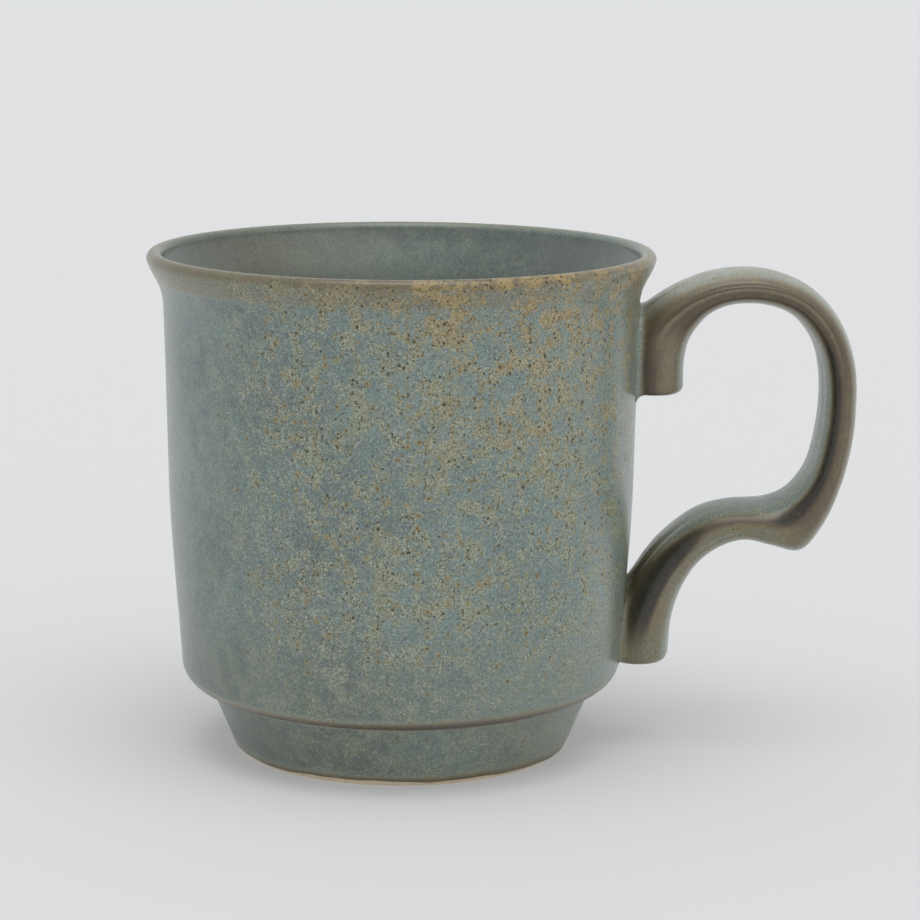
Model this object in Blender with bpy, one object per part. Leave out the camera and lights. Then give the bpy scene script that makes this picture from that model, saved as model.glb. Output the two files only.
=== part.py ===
"""A stoneware mug with a flared lip, a stepped-in foot ring and a scroll handle.

Metres, +Z up. The mug stands on z = 0 and its box is centred on the origin in X and Y. The handle
points to +X. The clay lies one glaze coat below the finished surface, and each piece keeps a small
gap to its neighbours, so no two pieces touch.
"""
import bpy
import bmesh
from math import cos, hypot, pi, radians, sin
from mathutils import Vector

# Cup, measured on its finished (glazed) surface from the cup's axis
RIM_RADIUS = 0.0430
HEIGHT = 0.0857
LIP_ROUND = 0.0013
WALL_RADIUS_MIDDLE = 0.0397
WALL_RADIUS_BOTTOM = 0.0378
SHOULDER_HEIGHT = 0.0154
SHOULDER_ROUND = 0.0041
SHOULDER_SWEEP = radians(64)
CREASE_RADIUS = 0.0332
CREASE_HEIGHT = 0.0111
FOOT_RADIUS = 0.0286
FLOOR_HEIGHT = 0.0155
INSIDE_CORNER_RADIUS = 0.0338
INSIDE_CORNER_ROUND = 0.0085

# Each run of the wall is a cubic curve that starts where the last one ended: two control points and
# an end point, as (radius, height). The last outer run is the flare up to the lip.
OUTER_RUNS = (
    ((0.0384, 0.0258), (0.0395, 0.0361), (WALL_RADIUS_MIDDLE, 0.0465)),
    ((0.0399, 0.0568), (0.0400, 0.0672), (0.0403, 0.0770)),
    ((0.0407, 0.0810), (0.0424, 0.0818), (RIM_RADIUS, HEIGHT - LIP_ROUND)),
)
INNER_RUN = ((0.0392, 0.0809), (0.0367, 0.0790), (0.0364, 0.0730))

# Foot ring
FOOT_INNER_RADIUS = 0.0250
FOOT_EDGE = 0.0005
BARE_FOOT_HEIGHT = 0.0009

# Layers
GAP = 0.0003
GLAZE = 0.0005
SLIP = 0.0005
COAT = GAP + GLAZE

# Handle
HANDLE_WIDTH = 0.0154
HANDLE_SQUARENESS = 2.4
UPPER_END_HEIGHT = 0.0617
LOWER_END_HEIGHT = 0.0150
END_ROUND = 0.0009

# The strap runs from its upper end over the arch, down the back, round the heel and through the S
# to its lower end. Each station is a point on its outer side and one on its finger side, as
# (distance from the cup's axis, height).
STATIONS = (
    ((0.0380, 0.0617), (0.0478, 0.0617)),
    ((0.0380, 0.0670), (0.0478, 0.0666)),
    ((0.0385, 0.0725), (0.0485, 0.0703)),
    ((0.0410, 0.0760), (0.0501, 0.0730)),
    ((0.0466, 0.0797), (0.0524, 0.0753)),
    ((0.0538, 0.0822), (0.0560, 0.0767)),
    ((0.0619, 0.0823), (0.0612, 0.0767)),
    ((0.0694, 0.0793), (0.0662, 0.0749)),
    ((0.0744, 0.0737), (0.0698, 0.0706)),
    ((0.0770, 0.0665), (0.0713, 0.0653)),
    ((0.0774, 0.0590), (0.0715, 0.0590)),
    ((0.0767, 0.0516), (0.0707, 0.0531)),
    ((0.0748, 0.0444), (0.0693, 0.0482)),
    ((0.0723, 0.0387), (0.0664, 0.0445)),
    ((0.0687, 0.0342), (0.0630, 0.0429)),
    ((0.0640, 0.0349), (0.0597, 0.0425)),
    ((0.0590, 0.0361), (0.0559, 0.0422)),
    ((0.0545, 0.0348), (0.0513, 0.0410)),
    ((0.0507, 0.0318), (0.0471, 0.0383)),
    ((0.0480, 0.0273), (0.0427, 0.0341)),
    ((0.0465, 0.0223), (0.0390, 0.0280)),
    ((0.0461, 0.0180), (0.0362, 0.0205)),
    ((0.0459, 0.0150), (0.0355, 0.0150)),
)

# Slip joints: lowest and highest point of the handle's two contacts with the wall
UPPER_JOINT = (0.0632, 0.0734)
LOWER_JOINT = (0.0162, 0.0282)
JOINT_WIDTH = 0.0108
JOINT_CORNER = 0.0020
JOINT_DEPTH = 0.0080
JOINT_START = 0.0018

# Facets
TURNS = 56
SECTION_POINTS = 16
STEPS_PER_STATION = 2
SHARP_ANGLE = radians(40)
ON_AXIS = 1e-7

# Slot: colour and roughness
FINISHES = {
    "glaze": ((0.20, 0.22, 0.19, 1.0), 0.38),
    "clay": ((0.62, 0.52, 0.38, 1.0), 0.85),
    "slip": ((0.55, 0.46, 0.34, 1.0), 0.90),
}


# ---------------------------------------------------------------- outlines

def arc(centre, radius, start, end, steps):
    """Points along an arc, both ends included."""
    angles = [start + (end - start) * i / steps for i in range(steps + 1)]
    return [(centre[0] + radius * cos(a), centre[1] + radius * sin(a)) for a in angles]


def cubic(start, run, steps):
    """Points along a cubic curve, without its first point."""
    points = []
    for i in range(1, steps + 1):
        t = i / steps
        weights = ((1 - t) ** 3, 3 * t * (1 - t) ** 2, 3 * t * t * (1 - t), t ** 3)
        points.append(tuple(sum(w * p[k] for w, p in zip(weights, (start, *run))) for k in (0, 1)))
    return points


def foot_flank():
    """The finished foot's flank, from its bare edge up to the crease."""
    slope = (CREASE_RADIUS - FOOT_RADIUS) / CREASE_HEIGHT
    bare_edge = (FOOT_RADIUS + slope * BARE_FOOT_HEIGHT, BARE_FOOT_HEIGHT)
    return [bare_edge, (CREASE_RADIUS, CREASE_HEIGHT)]


def outer_wall():
    """The finished wall, from under the shoulder up to the lip's widest point."""
    shoulder_centre = (WALL_RADIUS_BOTTOM - SHOULDER_ROUND, SHOULDER_HEIGHT)
    points = arc(shoulder_centre, SHOULDER_ROUND, -SHOULDER_SWEEP, 0, 4)
    for run, steps in zip(OUTER_RUNS, (2, 2, 4)):
        points += cubic(points[-1], run, steps)
    return points


def lip_and_inside():
    """The finished lip's round, then down the inside to the middle of the floor."""
    lip_centre = (RIM_RADIUS - LIP_ROUND, HEIGHT - LIP_ROUND)
    points = arc(lip_centre, LIP_ROUND, 0, pi, 6)[1:]
    points += cubic(points[-1], INNER_RUN, 3)
    corner_centre = (INSIDE_CORNER_RADIUS - INSIDE_CORNER_ROUND, FLOOR_HEIGHT + INSIDE_CORNER_ROUND)
    points += arc(corner_centre, INSIDE_CORNER_ROUND, 0, -pi / 2, 5)
    points.append((0.0, FLOOR_HEIGHT))
    return points


def offset(points, distance):
    """The outline moved by distance to the left of its direction of travel, mitred at its corners."""
    moved = []
    for i, (r, z) in enumerate(points):
        normals = []
        for a, b in ((i - 1, i), (i, i + 1)):
            if a >= 0 and b < len(points):
                dr, dz = points[b][0] - points[a][0], points[b][1] - points[a][1]
                normals.append((-dz / hypot(dr, dz), dr / hypot(dr, dz)))
        nr = sum(n[0] for n in normals)
        nz = sum(n[1] for n in normals)
        scale = len(normals) * distance / (nr * nr + nz * nz)
        moved.append((max(r + nr * scale, 0.0), z + nz * scale))
    return moved


def radius_on(line, height):
    """The radius at a height on the straight line through a line's first two points."""
    (r0, z0), (r1, z1) = line[0], line[1]
    return r0 + (r1 - r0) * (height - z0) / (z1 - z0)


def smooth_point(around, t):
    """A point between the second and third of four points, on a smooth curve through them."""
    p0, p1, p2, p3 = around
    return 0.5 * (2 * p1 + (p2 - p0) * t + (2 * p0 - 5 * p1 + 4 * p2 - p3) * t * t
                  + (3 * p1 - p0 - 3 * p2 + p3) * t ** 3)


def strap_sections(inset):
    """The strap's sections as (centre, half thickness vector, half width), inset below its surface."""
    sides = [[Vector((p[side][0], 0.0, p[side][1])) for p in STATIONS] for side in (0, 1)]
    last = len(STATIONS) - 1
    sections = []
    for i in range(last * STEPS_PER_STATION + 1):
        first = min(i // STEPS_PER_STATION, last - 1)
        t = i / STEPS_PER_STATION - first
        picks = (max(first - 1, 0), first, first + 1, min(first + 2, last))
        outer, inner = (smooth_point([side[k] for k in picks], t) for side in sides)
        half = (outer - inner) / 2
        half *= 1 - inset / half.length
        sections.append(((outer + inner) / 2, half, HANDLE_WIDTH / 2 - inset))
    sections[0][0].z = UPPER_END_HEIGHT + inset
    sections[-1][0].z = LOWER_END_HEIGHT + inset
    return sections


# ---------------------------------------------------------------- solids

def add_object(name, mesh, slot=None):
    """A named object on the cup's axis. Without a material slot it is a hidden cutter."""
    mesh.name = name
    obj = bpy.data.objects.new(name, mesh)
    bpy.context.scene.collection.objects.link(obj)
    obj.parent = axis
    if slot is None:
        obj.hide_render = True
        obj.display_type = "WIRE"
    else:
        mesh.materials.append(materials[slot])
        mesh.shade_smooth()
        mesh.set_sharp_from_angle(angle=SHARP_ANGLE)
    return obj


def mesh_from(bm):
    bmesh.ops.recalc_face_normals(bm, faces=bm.faces)
    mesh = bpy.data.meshes.new("piece")
    bm.to_mesh(mesh)
    bm.free()
    return mesh


def turned(profile):
    """A solid turned about the cup's axis from a closed (radius, height) outline."""
    bm = bmesh.new()
    rings = []
    for r, z in profile:
        places = 1 if r < ON_AXIS else TURNS
        angles = [2 * pi * i / TURNS for i in range(places)]
        rings.append([bm.verts.new((r * cos(a), r * sin(a), z)) for a in angles])
    for lower, upper in zip(rings, rings[1:] + rings[:1]):
        for i in range(TURNS):
            j = (i + 1) % TURNS
            corners = (lower[i % len(lower)], lower[j % len(lower)],
                       upper[j % len(upper)], upper[i % len(upper)])
            corners = list(dict.fromkeys(corners))
            if len(corners) > 2:
                bm.faces.new(corners)
    return mesh_from(bm)


def strap(inset):
    """The strap as a closed loft, inset below the finished surface, with its two ends rounded."""
    sections = strap_sections(inset)
    tips = []
    for index in (0, -1):
        centre, half, width = sections[index]
        tips.append((centre, half * (1 - END_ROUND / half.length), width - END_ROUND))
        sections[index] = (centre + Vector((0, 0, END_ROUND)), half, width)
    sections = [tips[0]] + sections + [tips[1]]
    bm = bmesh.new()
    rings = []
    for centre, half, width in sections:
        ring = []
        for i in range(SECTION_POINTS):
            angle = 2 * pi * (i + 0.5) / SECTION_POINTS
            c, s = cos(angle), sin(angle)
            reach = (abs(c) ** HANDLE_SQUARENESS + abs(s) ** HANDLE_SQUARENESS) ** (-1 / HANDLE_SQUARENESS)
            ring.append(bm.verts.new(centre + half * c * reach + Vector((0, width * s * reach, 0))))
        rings.append(ring)
    for first, second in zip(rings, rings[1:]):
        for i in range(SECTION_POINTS):
            j = (i + 1) % SECTION_POINTS
            bm.faces.new((first[i], first[j], second[j], second[i]))
    bm.faces.new(rings[0])
    bm.faces.new(rings[-1])
    bmesh.ops.triangulate(bm, faces=bm.faces)
    return mesh_from(bm)


def joint_block(heights, start, margin):
    """A block with rounded corners at one end of the handle, along X from start inside the wall."""
    low, high = heights[0] - margin, heights[1] + margin
    half = JOINT_WIDTH / 2 + margin
    corner = JOINT_CORNER + margin
    centres = ((half - corner, high - corner), (corner - half, high - corner),
               (corner - half, low + corner), (half - corner, low + corner))
    outline = []
    for quarter, centre in enumerate(centres):
        outline += arc(centre, corner, quarter * pi / 2, (quarter + 1) * pi / 2, 3)
    bm = bmesh.new()
    near = bm.faces.new([bm.verts.new((start, y, z)) for y, z in outline])
    pushed = bmesh.ops.extrude_face_region(bm, geom=[near])["geom"]
    far = [v for v in pushed if isinstance(v, bmesh.types.BMVert)]
    bmesh.ops.translate(bm, verts=far, vec=(JOINT_DEPTH, 0, 0))
    return mesh_from(bm)


def cut(obj, cutter, operation="DIFFERENCE"):
    modifier = obj.modifiers.new(cutter.name, "BOOLEAN")
    modifier.operation = operation
    modifier.object = cutter


# ---------------------------------------------------------------- assembly

def make_materials():
    made = {}
    for slot, (colour, roughness) in FINISHES.items():
        material = bpy.data.materials.new(slot)
        material.use_nodes = True
        shader = material.node_tree.nodes["Principled BSDF"]
        shader.inputs["Base Color"].default_value = colour
        shader.inputs["Roughness"].default_value = roughness
        shader.inputs["Metallic"].default_value = 0.0
        made[slot] = material
    return made


def make_cup():
    """Clay cup body, clay foot ring and the slip between them."""
    clay = offset(surface, COAT)
    slip_bottom = CREASE_HEIGHT - COAT + GAP
    slip_top = slip_bottom + SLIP
    underside = slip_top + GAP
    foot_top = slip_bottom - GAP
    add_object("cup_body", turned([(radius_on(clay, underside), underside)] + clay[1:]
                                  + [(0.0, underside)]), "clay")
    add_object("foot_ring", turned([
        (FOOT_INNER_RADIUS, foot_top),
        (FOOT_INNER_RADIUS, FOOT_EDGE),
        (FOOT_INNER_RADIUS + FOOT_EDGE, 0.0),
        (radius_on(clay, 0.0) - FOOT_EDGE, 0.0),
        (radius_on(clay, FOOT_EDGE), FOOT_EDGE),
        (radius_on(clay, foot_top), foot_top),
    ]), "clay")
    add_object("foot_slip", turned([
        (FOOT_INNER_RADIUS, slip_bottom),
        (radius_on(clay, slip_bottom), slip_bottom),
        (radius_on(clay, slip_top), slip_top),
        (FOOT_INNER_RADIUS, slip_top),
    ]), "slip")
    return underside


def make_base_glaze(underside):
    """The glaze skin inside the recess under the cup: a disc with a rim down the foot ring's inside."""
    radius, top = FOOT_INNER_RADIUS - GAP, underside - GAP
    add_object("base_glaze", turned([
        (0.0, top),
        (radius, top),
        (radius, BARE_FOOT_HEIGHT),
        (radius - GLAZE, BARE_FOOT_HEIGHT),
        (radius - GLAZE, top - GLAZE),
        (0.0, top - GLAZE),
    ]), "glaze")


def make_handle(wall):
    """Clay strap and its glaze skin, both cut to fit the glazed wall. Returns the handle's reach."""
    core = offset(wall, -GAP)
    wall_cutter = add_object("wall_cutter", turned([(0.0, core[0][1])] + core + [(0.0, core[-1][1])]))
    handle = add_object("handle", strap(COAT), "clay")
    cut(handle, wall_cutter)
    skin = add_object("handle_glaze", strap(0.0), "glaze")
    cut(skin, add_object("handle_core", strap(GLAZE)))
    cut(skin, wall_cutter)
    return max(v.co.x for v in skin.data.vertices)


def make_joints(wall, glaze_coat):
    """Slip pads at the handle's two ends, each in a window through the wall's glaze."""
    band = wall + offset(wall, GLAZE)[::-1]
    joints = (("upper", UPPER_JOINT, WALL_RADIUS_MIDDLE), ("lower", LOWER_JOINT, WALL_RADIUS_BOTTOM))
    for name, heights, wall_radius in joints:
        start = wall_radius - JOINT_START
        pad = add_object(name + "_handle_slip", turned(band), "slip")
        cut(pad, add_object(name + "_joint_block", joint_block(heights, start, 0.0)), "INTERSECT")
        cut(glaze_coat, add_object(name + "_joint_window", joint_block(heights, start, GAP)))


for old in list(bpy.data.objects):
    bpy.data.objects.remove(old, do_unlink=True)

materials = make_materials()
axis = bpy.data.objects.new("mug_axis", None)
bpy.context.scene.collection.objects.link(axis)

outer = outer_wall()
surface = foot_flank() + outer + lip_and_inside()
make_base_glaze(make_cup())
coat = add_object("glaze_coat", turned(surface + offset(surface, GLAZE)[::-1]), "glaze")
handle_reach = make_handle(outer)
make_joints(outer, coat)
axis.location.x = (RIM_RADIUS - handle_reach) / 2
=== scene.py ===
"""The looks of a speckled stoneware mug: its glazed cup, scroll handle, bare foot, stage and lights.

Lengths are metres, +Z up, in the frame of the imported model. The cup's outlines are in radius and
height about its own axis.
"""
from math import cos, exp, hypot, pi, radians, sin

import bpy
import numpy as np
from mathutils import Euler, Matrix, Vector


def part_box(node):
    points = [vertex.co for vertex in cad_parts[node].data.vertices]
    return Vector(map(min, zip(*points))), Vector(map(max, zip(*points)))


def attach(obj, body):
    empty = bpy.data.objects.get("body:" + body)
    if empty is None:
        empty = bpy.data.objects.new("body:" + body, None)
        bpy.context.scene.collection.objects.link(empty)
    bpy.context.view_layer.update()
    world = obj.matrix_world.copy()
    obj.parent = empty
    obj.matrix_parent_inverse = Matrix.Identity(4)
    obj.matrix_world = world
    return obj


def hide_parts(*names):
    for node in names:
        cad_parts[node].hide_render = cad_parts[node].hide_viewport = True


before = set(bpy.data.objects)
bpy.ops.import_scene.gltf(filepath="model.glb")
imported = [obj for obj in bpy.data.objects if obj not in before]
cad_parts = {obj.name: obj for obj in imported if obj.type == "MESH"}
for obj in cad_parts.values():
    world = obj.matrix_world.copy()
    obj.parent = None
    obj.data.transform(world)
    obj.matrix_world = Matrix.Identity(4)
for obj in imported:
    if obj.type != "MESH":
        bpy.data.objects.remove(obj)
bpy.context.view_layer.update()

MM = 0.001

# ---------------------------------------------------------------- sizes taken from the frame

coat_low, coat_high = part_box("glaze_coat")
base_low, base_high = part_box("base_glaze")
foot_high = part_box("foot_ring")[1]
skin_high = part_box("handle_glaze")[1]
AXIS_X = (coat_low.x + coat_high.x) / 2
RIM_RADIUS = (coat_high.x - coat_low.x) / 2
HEIGHT = coat_high.z
REACH = skin_high.x - AXIS_X
FOOT_TOP = foot_high.z

# Finished cup
LIP_ROUND = 1.3 * MM
CREASE_RADIUS = 33.2 * MM
CREASE_HEIGHT = 11.1 * MM
CREASE_ROUND = 0.7 * MM
FOOT_RADIUS = 28.6 * MM
FOOT_INNER_RADIUS = 25.0 * MM
BARE_FOOT = 0.80 * MM
SHOULDER_CENTRE = (33.7 * MM, 15.4 * MM)
SHOULDER_ROUND = 4.1 * MM
SHOULDER_SWEEP = radians(64)
FLOOR_HEIGHT = 15.5 * MM
INSIDE_CORNER_RADIUS = 33.8 * MM
INSIDE_CORNER_ROUND = 8.5 * MM
GLAZE = 0.5 * MM
GLAZE_GAP = 0.3 * MM
CLAY_SKIN = GLAZE * 0.55
FOOT_EDGE = 0.45 * MM
RECESS_ROUND = 2.2 * MM
EDGE_WANDER = 0.3 * MM
OUT_OF_ROUND = 0.06 * MM
TURNS = 288
ON_AXIS = 1e-7

OUTER_RUNS = (
    ((38.4 * MM, 25.8 * MM), (39.5 * MM, 36.1 * MM), (39.7 * MM, 46.5 * MM)),
    ((39.9 * MM, 56.8 * MM), (40.0 * MM, 67.2 * MM), (40.3 * MM, 77.0 * MM)),
    ((40.7 * MM, 81.0 * MM), (42.4 * MM, 81.8 * MM), (RIM_RADIUS, HEIGHT - LIP_ROUND)),
)
INNER_RUN = ((39.2 * MM, 80.9 * MM), (36.7 * MM, 79.0 * MM), (36.4 * MM, 73.0 * MM))

# Handle
HANDLE_WIDTH = 15.4 * MM
HANDLE_SQUARENESS = 2.3
STRAP_FULLNESS = 1.03
END_ROUND = 1.1 * MM
FILLET = 1.9 * MM
ROOT_DEPTH = 0.6 * MM
STATION_STEPS = 9
SECTION_POINTS = 96
FLAT_RINGS = 10
FLAT_SHARE = 0.98
EDGE_RINGS = 8
HANDLE_IRON = 0.50
HUB_THIN = 0.5
STATIONS = (
    ((38.0, 61.7), (47.8, 61.7)),
    ((38.0, 67.0), (47.8, 66.6)),
    ((38.5, 72.5), (48.5, 70.3)),
    ((41.0, 76.0), (50.1, 73.0)),
    ((46.6, 79.7), (52.4, 75.3)),
    ((53.8, 82.2), (56.0, 76.7)),
    ((61.9, 82.3), (61.2, 76.7)),
    ((69.4, 79.3), (66.2, 74.9)),
    ((74.4, 73.7), (69.8, 70.6)),
    ((77.0, 66.5), (71.3, 65.3)),
    ((77.4, 59.0), (71.5, 59.0)),
    ((76.7, 51.6), (70.7, 53.1)),
    ((74.8, 44.4), (69.3, 48.2)),
    ((72.3, 38.7), (66.4, 44.5)),
    ((68.7, 34.2), (63.0, 42.9)),
    ((64.0, 34.9), (59.7, 42.5)),
    ((59.0, 36.1), (55.9, 42.2)),
    ((54.5, 34.8), (51.3, 41.0)),
    ((50.7, 31.8), (47.1, 38.3)),
    ((48.0, 27.3), (42.7, 34.1)),
    ((46.5, 22.3), (39.0, 28.0)),
    ((46.1, 18.0), (36.2, 20.5)),
    ((45.9, 15.0), (35.5, 15.0)),
)


# ---------------------------------------------------------------- outlines


def arc(centre, radius, start, end, steps):
    """Points along an arc, both ends included."""
    angles = [start + (end - start) * i / steps for i in range(steps + 1)]
    return [(centre[0] + radius * cos(a), centre[1] + radius * sin(a)) for a in angles]


def cubic(start, run, steps):
    """Points along a cubic curve, without its first point."""
    points = []
    for i in range(1, steps + 1):
        t = i / steps
        weights = ((1 - t) ** 3, 3 * t * (1 - t) ** 2, 3 * t * t * (1 - t), t ** 3)
        points.append(tuple(sum(w * p[k] for w, p in zip(weights, (start, *run))) for k in (0, 1)))
    return points


def line(start, end, steps):
    """Points along a straight line, without its first point."""
    return [tuple(a + (b - a) * i / steps for a, b in zip(start, end)) for i in range(1, steps + 1)]


def foot_radius_at(height):
    """The radius of the foot's slanted flank at a height."""
    return FOOT_RADIUS + (CREASE_RADIUS - FOOT_RADIUS) * height / CREASE_HEIGHT


def cup_surface():
    """The finished surface from the glaze's edge on the foot, over the lip, to the floor's middle."""
    start = (foot_radius_at(BARE_FOOT), BARE_FOOT)
    below = (foot_radius_at(CREASE_HEIGHT - CREASE_ROUND), CREASE_HEIGHT - CREASE_ROUND)
    shoulder = arc(SHOULDER_CENTRE, SHOULDER_ROUND, -SHOULDER_SWEEP, 0, 22)
    above = tuple(a + (b - a) * 0.25 for a, b in zip((CREASE_RADIUS, CREASE_HEIGHT), shoulder[0]))
    crease = (CREASE_RADIUS, CREASE_HEIGHT)
    points = [start] + line(start, below, 20) + cubic(below, (crease, crease, above), 6)
    points += line(above, shoulder[0], 6)[:-1] + shoulder
    for run, steps in zip(OUTER_RUNS, (30, 30, 24)):
        points += cubic(points[-1], run, steps)
    points += arc((RIM_RADIUS - LIP_ROUND, HEIGHT - LIP_ROUND), LIP_ROUND, 0, pi, 18)[1:]
    points += cubic(points[-1], INNER_RUN, 20)
    corner = (INSIDE_CORNER_RADIUS - INSIDE_CORNER_ROUND, FLOOR_HEIGHT + INSIDE_CORNER_ROUND)
    corner_arc = arc(corner, INSIDE_CORNER_ROUND, 0, -pi / 2, 20)
    points += line(points[-1], corner_arc[0], 30)[:-1] + corner_arc
    points += line(points[-1], (0.0, FLOOR_HEIGHT), 16)
    return points


def offset(points, distance):
    """The outline moved by distance to the left of its direction of travel."""
    moved = []
    for i, (r, z) in enumerate(points):
        normals = []
        for a, b in ((i - 1, i), (i, i + 1)):
            if a >= 0 and b < len(points):
                dr, dz = points[b][0] - points[a][0], points[b][1] - points[a][1]
                normals.append((-dz / hypot(dr, dz), dr / hypot(dr, dz)))
        nr = sum(n[0] for n in normals)
        nz = sum(n[1] for n in normals)
        scale = len(normals) * distance / (nr * nr + nz * nz)
        moved.append((max(r + nr * scale, 0.0), z + nz * scale))
    return moved


# ---------------------------------------------------------------- mesh building


def add_piece(name, verts, faces, material, attributes=None):
    """A smooth mesh object, with its paint attributes as one value for each point."""
    mesh = bpy.data.meshes.new(name)
    mesh.from_pydata([tuple(v) for v in verts], [], faces)
    for key, values in (attributes or {}).items():
        layer = mesh.attributes.new(key, "FLOAT", "POINT")
        layer.data.foreach_set("value", np.asarray(values, dtype=np.float32))
    mesh.materials.append(material)
    mesh.shade_smooth()
    obj = bpy.data.objects.new(name, mesh)
    bpy.context.scene.collection.objects.link(obj)
    return obj


def turned(name, outline, material, wave=None, attributes=None, turns=TURNS):
    """A closed solid turned about the cup's axis. wave(angles, r, z) may shift each ring of points."""
    verts, rings = [], []
    values = {key: [] for key in (attributes or {})}
    for k, (r, z) in enumerate(outline):
        count = 1 if r < ON_AXIS else turns
        rings.append(range(len(verts), len(verts) + count))
        a = 2 * np.pi * np.arange(count) / turns
        rr, zz = wave(a, r, z) if wave else (r, z)
        ring = np.stack([AXIS_X + rr * np.cos(a), rr * np.sin(a), np.full(count, 0.0) + zz], axis=1)
        verts.extend(ring.tolist())
        for key, function in (attributes or {}).items():
            values[key].extend(np.broadcast_to(function(a, r, z, k), (count,)))
    faces = []
    for lower, upper in zip(rings, rings[1:] + rings[:1]):
        for i in range(turns):
            j = (i + 1) % turns
            corners = (upper[i % len(upper)], upper[j % len(upper)],
                       lower[j % len(lower)], lower[i % len(lower)])
            corners = list(dict.fromkeys(corners))
            if len(corners) > 2:
                faces.append(corners[::-1])
    return add_piece(name, verts, faces, material, values)


def smoothstep(low, high, value):
    """0 at low and 1 at high, with a soft start and end."""
    t = np.clip((value - low) / (high - low), 0.0, 1.0)
    return t * t * (3 - 2 * t)


# ---------------------------------------------------------------- materials


class Tree:
    """Short calls for building one material's node tree."""

    def __init__(self, name):
        self.material = bpy.data.materials.new(name)
        self.material.use_nodes = True
        self.tree = self.material.node_tree
        self.shader = self.tree.nodes["Principled BSDF"]

    def add(self, kind, **inputs):
        node = self.tree.nodes.new("ShaderNode" + kind)
        for key, value in inputs.items():
            self.put(node.inputs[key.replace("_", " ")], value)
        return node

    def put(self, socket, value):
        if isinstance(value, bpy.types.NodeSocket):
            self.tree.links.new(value, socket)
        else:
            socket.default_value = value

    def math(self, operation, a, b=None, c=None, clamp=False):
        node = self.tree.nodes.new("ShaderNodeMath")
        node.operation = operation
        node.use_clamp = clamp
        for socket, value in zip(node.inputs, (a, b, c)):
            if value is not None:
                self.put(socket, value)
        return node.outputs[0]

    def times(self, a, b, clamp=False):
        return self.math("MULTIPLY", a, b, clamp=clamp)

    def fit(self, value, low, high, out_low=0.0, out_high=1.0):
        """value mapped from low..high to out_low..out_high, smoothly and clamped."""
        node = self.tree.nodes.new("ShaderNodeMapRange")
        node.interpolation_type = "SMOOTHSTEP"
        for key, number in zip(("Value", "From Min", "From Max", "To Min", "To Max"),
                               (value, low, high, out_low, out_high)):
            self.put(node.inputs[key], number)
        return node.outputs["Result"]

    def mix(self, factor, a, b):
        """Colour a where factor is 0, colour b where it is 1."""
        node = self.tree.nodes.new("ShaderNodeMix")
        node.data_type = "RGBA"
        self.put(node.inputs["Factor"], factor)
        self.put(node.inputs["A"], a)
        self.put(node.inputs["B"], b)
        return node.outputs["Result"]

    def noise(self, vector, scale, detail=2.0, roughness=0.5, distortion=0.0):
        node = self.add("TexNoise", Vector=vector, Scale=scale, Detail=detail,
                        Roughness=roughness, Distortion=distortion)
        return node.outputs["Fac"]

    def cells(self, vector, scale):
        """Distance to the nearest of randomly placed points, and two random values of that point."""
        node = self.add("TexVoronoi", Vector=vector, Scale=scale, Randomness=1.0)
        split = self.add("SeparateColor", Color=node.outputs["Color"])
        return node.outputs["Distance"], split.outputs["Red"], split.outputs["Green"]

    def millimetres(self):
        """Position in the object's own frame, in millimetres from the cup's axis."""
        where = self.add("TexCoord").outputs["Object"]
        node = self.add("Mapping", Vector=where, Location=(-AXIS_X / MM, 0.0, 0.0), Scale=(1 / MM,) * 3)
        return node.outputs["Vector"]

    def spots(self, where, scale, reach, random_floor, soften):
        """Round spots of random size, 1 in a spot's middle and 0 outside, and each one's own tint."""
        distance, pick, tint = self.cells(where, scale)
        size = self.times(self.fit(pick, random_floor, 1.0), reach)
        return self.fit(self.math("SUBTRACT", size, distance), 0.0, soften), tint

    def ramp(self, factor, stops):
        node = self.tree.nodes.new("ShaderNodeValToRGB")
        elements = node.color_ramp.elements
        while len(elements) < len(stops):
            elements.new(0.5)
        for element, (place, colour) in zip(elements, stops):
            element.position = place
            element.color = colour
        self.put(node.inputs["Fac"], factor)
        return node.outputs["Color"]

    def vector(self, operation, a, b, c):
        node = self.tree.nodes.new("ShaderNodeVectorMath")
        node.operation = operation
        for socket, value in zip(node.inputs, (a, b, c)):
            self.put(socket, value)
        return node.outputs["Vector"]

    def attribute(self, name):
        node = self.tree.nodes.new("ShaderNodeAttribute")
        node.attribute_name = name
        return node.outputs["Fac"]


def rgb(*channels):
    """A display colour, 0 to 255, as a linear colour."""
    shares = [channel / 255 for channel in channels]
    linear = [c / 12.92 if c <= 0.04045 else ((c + 0.055) / 1.055) ** 2.4 for c in shares]
    return (*linear, 1.0)


# The glaze's colour, from where it pools (0) to where it has almost run off (1); the near-black last stop
# is painted shade.
GROUND = (
    (0.00, rgb(92, 108, 108)),
    (0.18, rgb(121, 140, 137)),
    (0.33, rgb(137, 144, 130)),
    (0.50, rgb(122, 112, 90)),
    (0.76, rgb(84, 67, 47)),
    (1.00, rgb(30, 25, 17)),
)
OLIVE = rgb(104, 99, 74)
# Pale colour of a painted highlight on the handle
PAINTED_SHEEN = rgb(194, 193, 181)
CREAM = rgb(150, 148, 114)
OCHRE = rgb(170, 146, 92)
PALE_GRAIN = rgb(186, 192, 176)
SLATE_GRAIN = rgb(84, 91, 79)
HALO = rgb(150, 134, 84)
FLECK_TINTS = (rgb(74, 72, 46), rgb(118, 104, 60))
SPECK_TINTS = (rgb(50, 50, 32), rgb(86, 76, 44))
RUST_TINTS = (rgb(64, 50, 32), rgb(112, 82, 42))


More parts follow.
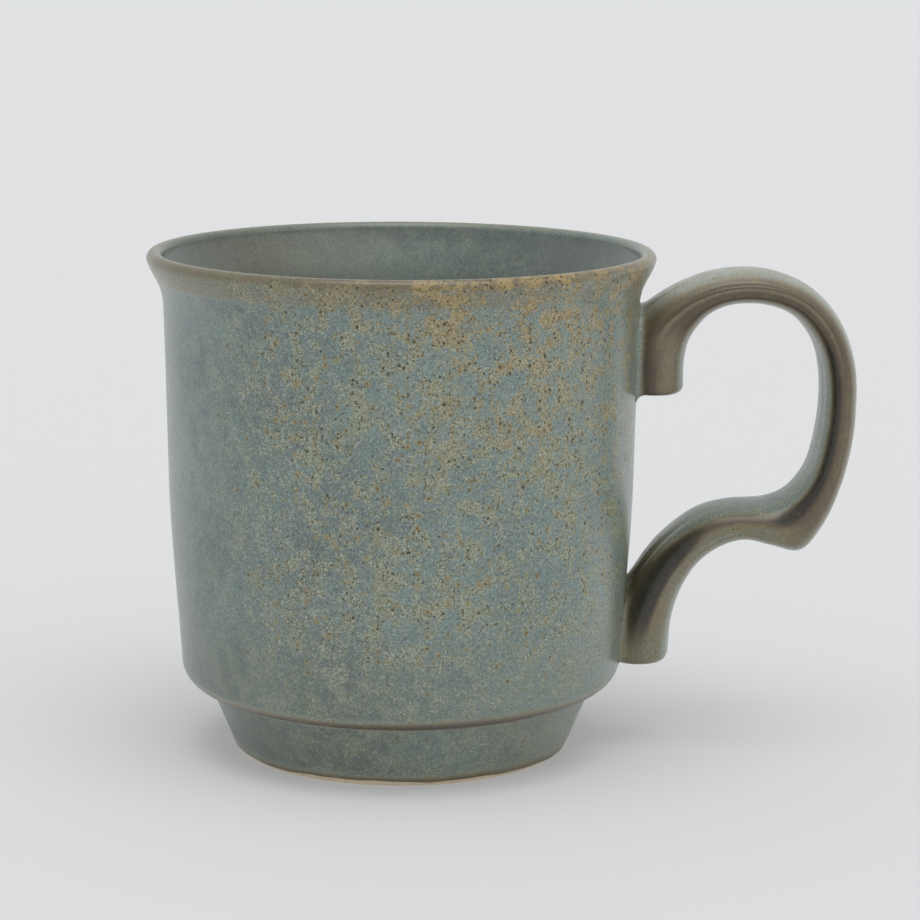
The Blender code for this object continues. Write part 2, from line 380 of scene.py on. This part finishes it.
def glaze_material(name):
    """A satin glaze: blue-grey where thick, olive then dark brown where thin, with iron specks. The
    meshes' thin and stain values also carry painted shade and painted light, and a pale painted highlight
    is mixed in.
    """
    t = Tree(name)
    mm = t.millimetres()
    thin = t.attribute("thin")
    iron = t.attribute("iron")
    stain = t.attribute("stain")
    painted_sheen = t.attribute("painted_sheen")
    jitter = t.add("TexNoise", Vector=mm, Scale=1.7, Detail=2.0).outputs["Color"]
    ragged_mm = t.vector("MULTIPLY_ADD", jitter, (0.9, 0.9, 0.9), mm)

    # Noise from patches centimetres wide to a stipple, in waves per millimetre
    broad = t.noise(mm, 0.05, 3.0, 0.55)
    medium = t.noise(mm, 0.32, 3.0, 0.6, 0.4)
    grain = t.noise(mm, 1.5, 3.0, 0.65)
    stipple = t.noise(mm, 3.4, 2.0, 0.6)

    # Glaze thickness, with painted shade and light laid into the same value, picks the ground colour
    wander = t.math("MULTIPLY_ADD", t.math("SUBTRACT", medium, 0.5), 0.30, -0.02)
    wander = t.math("MULTIPLY_ADD", t.math("SUBTRACT", grain, 0.5), 0.35, wander)
    wander = t.math("MULTIPLY_ADD", t.math("SUBTRACT", broad, 0.5), 0.35, wander)
    wander = t.times(wander, t.fit(thin, 0.45, 0.85, 1.0, 0.35))
    thinness = t.math("ADD", thin, wander)
    colour = t.ramp(thinness, GROUND)
    # Olive tint: partly stain, and on the cup partly painted shade low down, to the left and under the lip
    colour = t.mix(stain, colour, OLIVE)
    # Painted highlight: a pale sheen mixed into the colour where the meshes ask for it
    colour = t.mix(painted_sheen, colour, PAINTED_SHEEN)

    # Cream patches a few millimetres wide, ochre where the iron is densest
    patch = t.math("MULTIPLY_ADD", grain, 0.55, t.times(medium, 0.90))
    patch = t.times(t.fit(patch, 0.66, 0.84), iron)
    patch = t.times(patch, t.fit(thinness, 0.60, 0.82, 1.0, 0.15))
    cream = t.mix(t.fit(iron, 0.95, 1.35), CREAM, OCHRE)
    colour = t.mix(t.times(patch, 0.60, clamp=True), colour, cream)

    # A fine stipple everywhere, strongest in the patches
    texture = t.times(t.fit(patch, 0.0, 0.6, 0.62, 1.0), t.fit(iron, 0.0, 0.8, 0.35, 1.0))
    texture = t.times(texture, t.fit(thinness, 0.38, 0.60, 1.0, 0.12))
    pale = t.times(t.fit(stipple, 0.52, 0.64, 0.0, 0.62), texture)
    colour = t.mix(pale, colour, PALE_GRAIN)
    slate = t.times(t.fit(stipple, 0.48, 0.36, 0.0, 0.62), texture)
    colour = t.mix(slate, colour, SLATE_GRAIN)

    # Iron specks, mostly in the patches
    crowd = t.fit(patch, 0.05, 0.55, 0.0, 1.0)
    fleck, tint = t.spots(ragged_mm, 2.1, 0.50, 0.0, 0.12)
    fleck = t.times(fleck, t.times(t.fit(crowd, 0.0, 1.0, 0.32, 1.0), iron), clamp=True)
    colour = t.mix(fleck, colour, t.mix(tint, *FLECK_TINTS))
    halo, _ = t.spots(ragged_mm, 0.62, 0.52, 0.20, 0.30)
    halo = t.times(halo, t.fit(iron, 0.0, 1.0, 0.0, 0.60))
    halo = t.times(halo, t.fit(thinness, 0.62, 0.82, 1.0, 0.15))
    colour = t.mix(halo, colour, HALO)
    dark, tint = t.spots(ragged_mm, 1.25, 0.38, 0.20, 0.10)
    dark = t.times(dark, t.times(t.fit(crowd, 0.0, 0.8, 0.45, 1.0), iron), clamp=True)
    colour = t.mix(dark, colour, t.mix(tint, *SPECK_TINTS))
    rust, tint = t.spots(ragged_mm, 0.62, 0.20, 0.25, 0.10)
    rust = t.times(rust, t.fit(iron, 0.05, 0.6, 0.0, 0.95))
    colour = t.mix(rust, colour, t.mix(tint, *RUST_TINTS))

    t.put(t.shader.inputs["Base Color"], colour)
    roughness = t.fit(medium, 0.3, 0.7, 0.27, 0.38)
    t.put(t.shader.inputs["Roughness"], t.math("MULTIPLY_ADD", rust, 0.15, roughness))
    height = t.math("MULTIPLY_ADD", stipple, 0.35, t.times(grain, 0.6))
    height = t.math("MULTIPLY_ADD", dark, -0.35, height)
    bump = t.add("Bump", Height=height, Strength=0.30, Distance=0.08 * MM)
    t.put(t.shader.inputs["Normal"], bump.outputs["Normal"])
    t.put(t.shader.inputs["Coat Weight"], 0.38)
    t.put(t.shader.inputs["Coat Roughness"], 0.28)
    return t.material


def clay_material(name, pale, dark, grain):
    """Bare, grainy fired clay with a few darker grits."""
    t = Tree(name)
    mm = t.millimetres()
    grains = t.noise(mm, grain, 4.0, 0.7)
    colour = t.mix(t.fit(grains, 0.3, 0.7), dark, pale)
    grit, _ = t.spots(mm, 1.6, 0.3, 0.5, 0.1)
    colour = t.mix(t.times(grit, 0.6), colour, rgb(120, 88, 58))
    t.put(t.shader.inputs["Base Color"], colour)
    t.put(t.shader.inputs["Roughness"], t.fit(grains, 0.3, 0.7, 0.75, 0.95))
    bump = t.add("Bump", Height=grains, Strength=0.6, Distance=0.06 * MM)
    t.put(t.shader.inputs["Normal"], bump.outputs["Normal"])
    return t.material


glaze = glaze_material("speckled_glaze")
clay = clay_material("bare_stoneware", rgb(236, 222, 196), rgb(214, 196, 164), 2.2)
slip = clay_material("fired_slip", rgb(190, 170, 138), rgb(160, 136, 104), 3.0)


# ---------------------------------------------------------------- glazed cup, foot and recess


def ripple(angle, waves):
    """A closed, repeatable wavy value of about -1 to 1 round the cup."""
    return sum(a * np.sin(n * angle + p) for n, a, p in waves)


EDGE_WAVES = ((3, 0.45, 0.4), (7, 0.3, 2.1), (13, 0.2, 4.0), (29, 0.12, 1.3))
WALL_WAVES = ((2, 0.6, 0.8), (3, 0.3, 2.6), (5, 0.2, 5.0))
WALL_WAVES_MOST = 1.1


def cup_wave(angle, r, z):
    """The glaze's edge on the foot wanders, and the wall is a little out of round."""
    edge = 1 - smoothstep(BARE_FOOT, BARE_FOOT + 2.5 * MM, z) if r > FOOT_INNER_RADIUS else 0.0
    out_of_round = OUT_OF_ROUND * (ripple(angle, WALL_WAVES) - WALL_WAVES_MOST)
    radius = r + out_of_round * smoothstep(0.0, HEIGHT, z) * (r > 0)
    return radius, z + edge * EDGE_WANDER * ripple(angle, EDGE_WAVES)


surface = cup_surface()
travel = [0.0]
for a, b in zip(surface, surface[1:]):
    travel.append(travel[-1] + hypot(b[0] - a[0], b[1] - a[1]))
crease_at = min(range(len(surface) // 2), key=lambda k: abs(surface[k][1] - CREASE_HEIGHT))
lip_at = max(range(len(surface)), key=lambda k: surface[k][1])
widest_at = max(range(len(surface)), key=lambda k: surface[k][0])
shell = surface + offset(surface, GLAZE)[::-1]


def along(k):
    """Distance along the finished surface of an outline point, in millimetres."""
    return travel[k] / MM if k < len(travel) else travel[2 * len(travel) - 1 - k] / MM


CREASE_S, LIP_S, WIDEST_S = along(crease_at), along(lip_at), along(widest_at)
CREASE_TOP = shell[crease_at][1]


def near(k, centre, width):
    """1 at one distance along the outline, falling to 0 some millimetres away from it."""
    return np.exp(-((along(k) - centre) / width) ** 2)


def turn_from(a, degrees, width):
    """1 on one side of the cup, falling to 0 some degrees away from it."""
    apart = (a - radians(degrees) + pi) % (2 * pi) - pi
    return np.exp(-(apart / radians(width)) ** 2)


def crease_band(z):
    """1 where the crease above the foot is darkened, fading out up the round of the shoulder: partly glaze
    thinning there, partly painted shade in the corner and on the shoulder's down-facing round.
    """
    above = z - CREASE_TOP
    return smoothstep(-0.7 * MM, 0.1 * MM, above) * (1 - smoothstep(0.6 * MM, 3.0 * MM, above))


def cup_thin_and_shade(a, r, z, k):
    """How thin the glaze lies, thinnest at the foot's edge, the crease and the lip, with painted shade and
    light laid into the same value: shade in the crease, under the lip's flare, inside the cup and on the
    wall to the left and low down; light on the wall to the right and up high, and a painted reflection
    inside on the back wall.
    """
    s = along(k)
    crease = crease_band(z) * 0.80
    edge = near(k, 0.0, 1.1) * 0.58
    foot = -0.03 * (1 - smoothstep(CREASE_S - 2.0, CREASE_S + 5.0, s))
    lip = smoothstep(WIDEST_S - 0.8, WIDEST_S + 0.6, s) * (0.18 - 0.05 * np.cos(a))
    lip *= 1 - smoothstep(LIP_S - 0.6, LIP_S + 0.5, s)
    # Under the lip's flare: partly browner glaze, partly painted shade on its down-facing underside.
    under_lip = smoothstep(WIDEST_S - 4.3, WIDEST_S - 3.0, s) * (0.19 - 0.12 * np.cos(a))
    under_lip *= 1 - smoothstep(LIP_S, LIP_S + 1.2, s)
    inside = smoothstep(LIP_S + 0.6, LIP_S + 3.0, s)
    # Inside the cup: painted shade makes it darker blue all round, laid in as thicker glaze; painted light
    # makes it lighter towards the back left; and a painted reflection lightens a patch on the back wall
    # below the lip.
    inner = -0.16 + 0.10 * turn_from(a, 133, 22) + 0.28 * turn_from(a, 98, 19) * near(k, LIP_S + 15, 8)
    # Painted light and shade on the outer wall: lighter and warmer to the right and up high, darker to the
    # left and low down.
    wall = smoothstep(48 * MM, 80 * MM, z) * (0.5 + 0.5 * np.cos(a)) * 0.10
    wall = wall - 0.08 * smoothstep(0.1, -0.8, np.cos(a)) - 0.03 * (1 - smoothstep(14 * MM, 34 * MM, z))
    wall = (wall + 0.03 * smoothstep(0.0, 0.4, np.cos(a))) * (1 - inside)
    return np.clip(0.19 + crease + edge + foot + lip + under_lip + wall + inside * inner, 0.0, 1.0)


def cup_iron(a, r, z, k):
    """How densely the iron lies: less to the left and low down, little inside, most below the lip."""
    s = along(k)
    inside = smoothstep(LIP_S - 0.4, LIP_S + 0.5, s)
    spread = 0.30 + 0.70 * smoothstep(-0.85, -0.35, np.cos(a))
    spread = spread * (0.45 + 0.55 * smoothstep(14 * MM, 36 * MM, z))
    spread = spread + 0.55 * turn_from(a, -58, 40) * near(k, WIDEST_S - 3.0, 5.5)
    spread = spread + 0.20 * smoothstep(40 * MM, 68 * MM, z) * smoothstep(-0.2, 0.4, np.cos(a))
    return spread * (1 - 0.85 * inside)


def cup_stain_and_shade(a, r, z, k):
    """Olive tints: a stain inside towards the back left; on the lower wall and foot, heavier to the left,
    and under the lip's flare, partly stain and partly painted shade.
    """
    s = along(k)
    inside = smoothstep(LIP_S + 0.6, LIP_S + 3.0, s)
    # Painted shade in part: the lower wall and foot, and the underside of the lip's flare, darken to
    # olive, more on the left.
    low = 1 - smoothstep(16 * MM, 34 * MM, z)
    high = smoothstep(WIDEST_S - 4.6, WIDEST_S - 3.0, s) * (0.35 - 0.20 * np.cos(a))
    foot = 0.24 * smoothstep(0.2, 0.8, np.cos(a)) * smoothstep(0.0, -0.5 * MM, z - CREASE_TOP)
    low = ((0.26 - 0.10 * np.cos(a)) * low + foot) * (1 - crease_band(z))
    return inside * (0.24 + 0.42 * turn_from(a, 132, 30)) + (1 - inside) * (low + high)


cup_paint = {"thin": cup_thin_and_shade, "iron": cup_iron, "stain": cup_stain_and_shade}
cup = turned("glazed_cup", shell, glaze, cup_wave, cup_paint)
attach(cup, "root")
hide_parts("glaze_coat")

outer_edge = FOOT_RADIUS - CLAY_SKIN - FOOT_EDGE
inner_edge = FOOT_INNER_RADIUS + FOOT_EDGE
foot_outline = arc((outer_edge, FOOT_EDGE), FOOT_EDGE, -pi / 2, -radians(20), 6)
foot_outline += line(foot_outline[-1], (foot_radius_at(FOOT_TOP) - GLAZE - GLAZE_GAP, FOOT_TOP), 12)
foot_outline += line(foot_outline[-1], (FOOT_INNER_RADIUS, FOOT_TOP), 4)
foot_outline += line(foot_outline[-1], (FOOT_INNER_RADIUS, FOOT_EDGE), 12)
foot_outline += arc((inner_edge, FOOT_EDGE), FOOT_EDGE, pi, 1.5 * pi, 6)[1:]
foot_outline += line(foot_outline[-1], foot_outline[0], 4)[:-1]
foot = turned("bare_foot_ring", foot_outline, clay)
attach(foot, "root")
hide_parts("foot_ring")

recess_radius = (base_high.x - base_low.x) / 2
recess_top = base_high.z
recess_face = [(recess_radius - GLAZE, base_low.z)]
recess_face += line(recess_face[-1], (recess_radius - GLAZE, recess_top - GLAZE - RECESS_ROUND), 10)
recess_face += arc((recess_radius - GLAZE - RECESS_ROUND, recess_top - GLAZE - RECESS_ROUND),
                   RECESS_ROUND, 0, pi / 2, 10)[1:]
recess_face += line(recess_face[-1], (0.0, recess_top - GLAZE), 12)
recess_back = [(0.0, recess_top), (recess_radius, recess_top), (recess_radius, base_low.z)]
recess = turned("recess_glaze", recess_face + recess_back, glaze, None,
                {"thin": lambda a, r, z, k: 0.15 + 0.6 * exp(-(z - base_low.z) / (0.8 * MM)),
                 "iron": lambda a, r, z, k: 0.4, "stain": lambda a, r, z, k: 0.2})
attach(recess, "root")
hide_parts("base_glaze")


# ---------------------------------------------------------------- handle


def wall_radius(heights):
    """The finished outer wall's radius at each height."""
    wall = surface[crease_at:widest_at + 1]
    return np.interp(heights, [p[1] for p in wall], [p[0] for p in wall])


def strap_grid():
    """The strap's surface as rings of points, with each point's place along, across and round it."""
    sides = np.array(STATIONS) * MM
    sides = sides.transpose(1, 0, 2)
    last = len(STATIONS) - 1
    count = last * STATION_STEPS + 1
    path = np.linspace(0, last, count)
    first = np.minimum(path.astype(int), last - 1)
    t = (path - first)[:, None]
    picks = [np.clip(first + k, 0, last) for k in (-1, 0, 1, 2)]
    curves = []
    for side in sides:
        p0, p1, p2, p3 = (side[k] for k in picks)
        curves.append(0.5 * (2 * p1 + (p2 - p0) * t + (2 * p0 - 5 * p1 + 4 * p2 - p3) * t ** 2
                             + (3 * p1 - p0 - 3 * p2 + p3) * t ** 3))
    outer, inner = curves
    kernel = np.ones(5) / 5
    for curve in curves:
        for axis in (0, 1):
            padded = np.pad(curve[:, axis], 2, mode="reflect", reflect_type="odd")
            curve[:, axis] = np.convolve(padded, kernel, mode="valid")
    return (outer + inner) / 2, (outer - inner) / 2 * STRAP_FULLNESS, path / last


def ring_shape(squareness):
    """A section between an ellipse and a rectangle, across (u) and along the strap's width (v)."""
    angles = 2 * np.pi * (np.arange(SECTION_POINTS) + 0.5) / SECTION_POINTS
    c, s = np.cos(angles), np.sin(angles)
    reach = (np.abs(c) ** squareness + np.abs(s) ** squareness) ** (-1 / squareness)
    return c * reach, s * reach


def bell(value, centre, width):
    """1 at the centre, falling to 0 on both sides."""
    return np.exp(-((value - centre) / width) ** 2)


def handle_mesh():
    """The strap and its two flat ends as rings of points, and where each ring lies along the strap."""
    centres, halves, path = strap_grid()
    u, v = ring_shape(HANDLE_SQUARENESS)
    half_width = HANDLE_WIDTH / 2
    rings, where = [], []

    def add_ring(centre, half, width, place):
        rings.append(np.stack([centre[0] + half[0] * u, width * v, centre[1] + half[1] * u], axis=1))
        where.append(place)

    def end_cap(centre, half, place):
        """Rings from the flat end's middle out to its rounded edge."""
        length = np.hypot(*half)
        flat = [(k / FLAT_RINGS * FLAT_SHARE, 0.0) for k in range(1, FLAT_RINGS + 1)]
        rounded = [(1.0, pi / 2 * k / EDGE_RINGS) for k in range(1, EDGE_RINGS + 1)]
        cap = []
        for grow, a in flat + rounded:
            inset = END_ROUND * (1 - sin(a))
            rise = END_ROUND * (1 - cos(a))
            cap.append((centre + np.array([0.0, rise]), half * (1 - inset / length) * grow,
                        (half_width - inset) * grow, place))
        return cap

    head = end_cap(centres[0], halves[0], 0.0)
    tail = end_cap(centres[-1], halves[-1], 1.0)[::-1]
    for piece in head:
        add_ring(*piece)
    top_of_head, top_of_tail = centres[0][1] + END_ROUND * 1.05, centres[-1][1] + END_ROUND * 1.05
    for centre, half, place in zip(centres[1:-1], halves[1:-1], path[1:-1]):
        if (place < 0.1 and centre[1] < top_of_head) or (place > 0.9 and centre[1] < top_of_tail):
            continue
        add_ring(centre, half, half_width, place)
    for piece in tail:
        add_ring(*piece)
    return np.array(rings), np.array(where), u, v


def grid_normals(grid):
    """The outward direction at each point of the strap."""
    forward = np.gradient(grid, axis=0)
    around = (np.roll(grid, -1, axis=1) - np.roll(grid, 1, axis=1)) / 2
    normal = np.cross(around, forward)
    normal /= np.maximum(np.linalg.norm(normal, axis=2, keepdims=True), 1e-12)
    outward = grid - grid.mean(axis=1, keepdims=True)
    flip = np.sign((normal * outward).sum(axis=(1, 2)))
    return normal * np.where(flip == 0, 1, flip)[:, None, None]


def flute(grid, where, u, v, normals):
    """Long shallow grooves of the pulled strap: along both broad faces and one fine line on each side."""
    s = where[:, None]
    outer_face = smoothstep(0.5, 0.9, u)[None]
    finger_face = smoothstep(0.5, 0.9, -u)[None]
    side_face = smoothstep(0.6, 0.95, np.abs(v))[None]
    grooves = bell(np.abs(v), 0.42, 0.13)[None]
    on_outer = bell(s, 0.10, 0.06) * 0.34 + 0.02
    on_finger = bell(s, 0.88, 0.08) * 0.34 + bell(s, 0.45, 0.12) * 0.10
    depth = grooves * (outer_face * on_outer + finger_face * on_finger)
    seam = bell(u, 0.30, 0.07) * 0.10 - bell(u, 0.16, 0.06) * 0.05 - bell(u, 0.44, 0.06) * 0.05
    depth = depth + side_face * seam[None] * smoothstep(0.12, 0.22, s) * (1 - smoothstep(0.75, 0.9, s))
    return grid - normals * (depth * MM)[..., None]


def root_fillet(grid, normals):
    """Flares the strap where it meets the wall, and sinks its end faces just under the wall."""
    x, y, z = grid[..., 0], grid[..., 1], grid[..., 2]
    radial = np.hypot(x, y)
    outward = np.stack([x / radial, y / radial, np.zeros_like(x)], axis=-1)
    gap = radial - wall_radius(z)
    sideways = normals - outward * (normals * outward).sum(axis=-1, keepdims=True)
    length = np.linalg.norm(sideways, axis=-1, keepdims=True)
    sideways = np.where(length > 0.3, sideways / np.maximum(length, 1e-9), 0.0)
    nearness = np.clip(1 - np.clip(gap, 0, FILLET) / FILLET, 0, 1)
    flare = FILLET * (1 - np.sqrt(1 - (0.985 * nearness) ** 2))
    under_tail = smoothstep(0.2, 0.7, -normals[..., 2]) * (z < STATIONS[-1][0][1] * MM + END_ROUND)
    flare = flare * (1 - under_tail)
    moved = grid + sideways * flare[..., None]
    x, y, z = moved[..., 0], moved[..., 1], moved[..., 2]
    radial = np.hypot(x, y)
    floor = wall_radius(z) - ROOT_DEPTH
    push = np.maximum(floor / radial, 1.0)
    return np.stack([x * push, y * push, z], axis=-1)


def clearance(grid):
    """How far each point stands off the cup's wall."""
    return np.hypot(grid[..., 0] - AXIS_X, grid[..., 1]) - wall_radius(grid[..., 2])


def handle_thin_and_shade(s, u, v, gap):
    """How thin the glaze lies on the handle: brown sides and edges, blue-grey broad faces, with painted
    shade laid into the same value on the arch's sides towards their underside, along the finger-side edge,
    down the tail and by its lower root, and painted highlights and shade along the seam lines.
    """
    side = smoothstep(np.where(u < 0, 0.45 + 0.25 * smoothstep(0.30, 0.42, s), 0.45), 0.95, np.abs(v))
    outer_corner = bell(np.abs(u) - np.abs(v), 0.0, 0.22) * (u > 0)
    block = 1 - smoothstep(0.04, 0.12, s)
    arch = smoothstep(0.06, 0.14, s) * (1 - smoothstep(0.34, 0.44, s))
    column = smoothstep(0.34, 0.44, s) * (1 - smoothstep(0.60, 0.68, s))
    scroll = smoothstep(0.60, 0.70, s) * (1 - smoothstep(0.78, 0.86, s))
    tail = smoothstep(0.77, 0.86, s)
    thin = 0.24 + 0.25 * side
    # Partly painted shade: the arch's sides darken towards their underside.
    thin = thin + side * (block * 0.08 + arch * 0.17 * smoothstep(0.85, 0.55, u))
    thin = thin + side * column * (0.14 + 0.08 * smoothstep(0.7, 0.0, u)) + side * scroll * 0.04
    # A dark line along the finger-side edge: partly the glaze breaking brown, partly painted shade on the
    # rounded edge.
    dark_edge = bell(u, -0.40, 0.20) * side
    thin = thin + dark_edge * (0.16 * arch + 0.62 * column + 0.32 * scroll)
    thin = thin + outer_corner * bell(s, 0.10, 0.06) * 0.40
    # Painted shade on the tail's sides, darkest towards the finger side, fading out before the tail's end.
    shade = smoothstep(0.22, -0.20, u) * 0.92 + 0.08
    thin = thin + side * tail * shade * (1 - 0.85 * smoothstep(0.91, 0.97, s))
    thin = thin + (1 - side) * 0.08 * (arch - column * smoothstep(0.3, -0.5, u))
    # Painted shade on the tail's finger face near its lower root.
    root_shade = smoothstep(0.82, 0.89, s) * (1 - smoothstep(0.96, 1.0, s))
    thin = thin + (1 - side) * (u < 0) * root_shade * 0.58
    upper_lines = bell(u, 0.50, 0.16) * bell(s, 0.05, 0.035) * 0.26 + bell(u, 0.16, 0.05) * arch * 0.16
    thin = thin + side * upper_lines
    # Light and dark lines along the sides: partly glaze lines, partly painted highlights on the seam's
    # ridges and painted shade in its grooves.
    lines = bell(u, 0.06, 0.06) * 0.16 + bell(u, -0.34, 0.06) * 0.08
    lines = lines - bell(u, 0.26, 0.06) * 0.09 - bell(u, -0.14, 0.06) * 0.07
    thin = thin - side * (lines * arch + bell(u, 0.31, 0.08) * 0.13 * scroll)
    brown_root = bell(gap, 2.5 * MM, 1.4 * MM) * smoothstep(0.2, 0.0, s) * side * 0.26
    pooled = 1 - smoothstep(0.3 * MM, 1.5 * MM, gap)
    pool = 0.26 + 0.22 * smoothstep(0.5, 1.0, s)
    return np.clip((thin + brown_root) * (1 - pooled) + pool * pooled, 0, 1)


def broad_face(v):
    """1 on the strap's broad faces, 0 on its sides."""
    return 1 - smoothstep(0.70, 0.95, np.abs(v))


def handle_stain(s, u, v):
    """Olive tints on the handle: its broad faces along the scroll and the tail, its heel and lower end."""
    broad = broad_face(v)
    edge = (1 - broad) * (0.34 * bell(s, 0.71, 0.07) + 0.40 * smoothstep(0.91, 0.96, s))
    return edge + broad * (0.12 + 0.28 * smoothstep(0.3, -0.5, u) * smoothstep(0.60, 0.72, s))


def handle_painted_sheen(s, u, v):
    """Painted highlight on the top of the arch and down the handle's outer and finger faces: a pale sheen
    laid into the glaze's colour.
    """
    broad = broad_face(v)
    arch = smoothstep(0.06, 0.12, s) * (1 - smoothstep(0.36, 0.48, s))
    outer = smoothstep(0.1, 0.5, u) * arch * (0.20 + 0.18 * bell(s, 0.20, 0.08))
    finger = smoothstep(-0.1, -0.5, u) * bell(s, 0.50, 0.12) * 0.24
    return broad * (outer + finger)


def make_handle():
    """The glazed handle, fluted, flared onto the wall and painted."""
    grid, where, u, v = handle_mesh()
    normals = grid_normals(grid)
    grid = flute(grid, where, u, v, normals)
    grid = root_fillet(grid, normals)
    grid[..., 0] = np.minimum(grid[..., 0], REACH) + AXIS_X
    rows, ring = grid.shape[:2]
    verts = grid.reshape(-1, 3).tolist()
    faces = []
    for i in range(rows - 1):
        for j in range(ring):
            k = (j + 1) % ring
            faces.append((i * ring + j, i * ring + k, (i + 1) * ring + k, (i + 1) * ring + j))
    for row, order in ((0, -1), (rows - 1, 1)):
        verts.append(grid[row].mean(axis=0).tolist())
        hub = len(verts) - 1
        for j in range(ring):
            k = (j + 1) % ring
            faces.append((hub, row * ring + j, row * ring + k)[::order])
    place = (where[:, None], u[None], v[None])
    paint = {
        "thin": handle_thin_and_shade(*place, clearance(grid)).reshape(-1).tolist() + [HUB_THIN] * 2,
        "iron": [HANDLE_IRON] * len(verts),
        "stain": handle_stain(*place).reshape(-1).tolist() + [0.0] * 2,
        "painted_sheen": handle_painted_sheen(*place).reshape(-1).tolist() + [0.0] * 2,
    }
    return add_piece("glazed_handle", verts, faces, glaze, paint)


handle = make_handle()
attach(handle, "root")
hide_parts("handle_glaze", "upper_handle_slip", "lower_handle_slip")

for node, finish in (("cup_body", clay), ("handle", clay), ("foot_slip", slip)):
    for material_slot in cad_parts[node].material_slots:
        material_slot.material = finish


# ---------------------------------------------------------------- stage, lights and camera


def stage_material():
    """Pale matt paper with a faint glow of its own, which keeps the shadows on it soft."""
    t = Tree("stage_paper")
    t.put(t.shader.inputs["Base Color"], (0.580, 0.583, 0.587, 1.0))
    t.put(t.shader.inputs["Emission Color"], (0.985, 0.995, 1.0, 1.0))
    t.put(t.shader.inputs["Emission Strength"], 0.180)
    t.put(t.shader.inputs["Roughness"], 0.9)
    t.put(t.shader.inputs["Specular IOR Level"], 0.2)
    return t.material


FLOOR_REACH = 4.8
SWEEP = 2.2
STAGE_TOP = 3.0
PAPER = 0.02
stage_outline = [(0.0, 0.0)] + line((0.0, 0.0), (FLOOR_REACH, 0.0), 24)
stage_outline += arc((FLOOR_REACH, SWEEP), SWEEP, -pi / 2, 0, 24)[1:]
stage_outline += [(FLOOR_REACH + SWEEP, STAGE_TOP), (FLOOR_REACH + SWEEP + PAPER, STAGE_TOP),
                  (FLOOR_REACH + SWEEP + PAPER, -PAPER), (0.0, -PAPER)]
stage = turned("stage", stage_outline, stage_material(), turns=128)


def soft_sun(name, azimuth, elevation, spread, strength, colour=(1.0, 1.0, 1.0)):
    """A far light of a wide angle, coming from an azimuth (0 is +X, 90 is +Y) and an elevation."""
    data = bpy.data.lights.new(name, "SUN")
    data.energy = strength
    data.angle = radians(spread)
    data.color = colour
    lamp = bpy.data.objects.new(name, data)
    towards = Vector((cos(radians(azimuth)) * cos(radians(elevation)),
                      sin(radians(azimuth)) * cos(radians(elevation)), sin(radians(elevation))))
    lamp.rotation_euler = towards.to_track_quat("Z", "Y").to_euler()
    bpy.context.scene.collection.objects.link(lamp)
    return lamp


soft_sun("overhead", -84.0, 79.0, 46.0, 0.90, (1.0, 0.995, 0.98))
soft_sun("left_window", 187.0, 22.0, 20.0, 0.05, (0.97, 0.98, 1.0))
soft_sun("right_front", -42.0, 34.0, 60.0, 0.30, (1.0, 0.995, 0.985))

world = bpy.data.worlds.new("studio")
world.use_nodes = True
world.node_tree.nodes["Background"].inputs["Color"].default_value = (0.955, 0.975, 1.0, 1.0)
world.node_tree.nodes["Background"].inputs["Strength"].default_value = 0.66
bpy.context.scene.world = world
bpy.context.scene.view_settings.view_transform = "Standard"

CAMERA_DISTANCE = 0.490
CAMERA_HEIGHT = 0.1438
CAMERA_PITCH = radians(10.91)
CAMERA_YAW = radians(1.17)
CAMERA_ROLL = radians(0.32)
CAMERA_LENS = 114.0
camera_data = bpy.data.cameras.new("camera")
camera_data.lens = CAMERA_LENS
camera_data.sensor_width = 36.0
camera_data.clip_start, camera_data.clip_end = 0.01, 20.0
camera = bpy.data.objects.new("camera", camera_data)
aim = Euler((pi / 2 - CAMERA_PITCH, 0.0, -CAMERA_YAW)).to_matrix().to_4x4()
camera.matrix_world = (Matrix.Translation((AXIS_X, -CAMERA_DISTANCE, CAMERA_HEIGHT)) @ aim
                       @ Matrix.Rotation(CAMERA_ROLL, 4, "Z"))
bpy.context.scene.collection.objects.link(camera)
bpy.context.scene.camera = camera
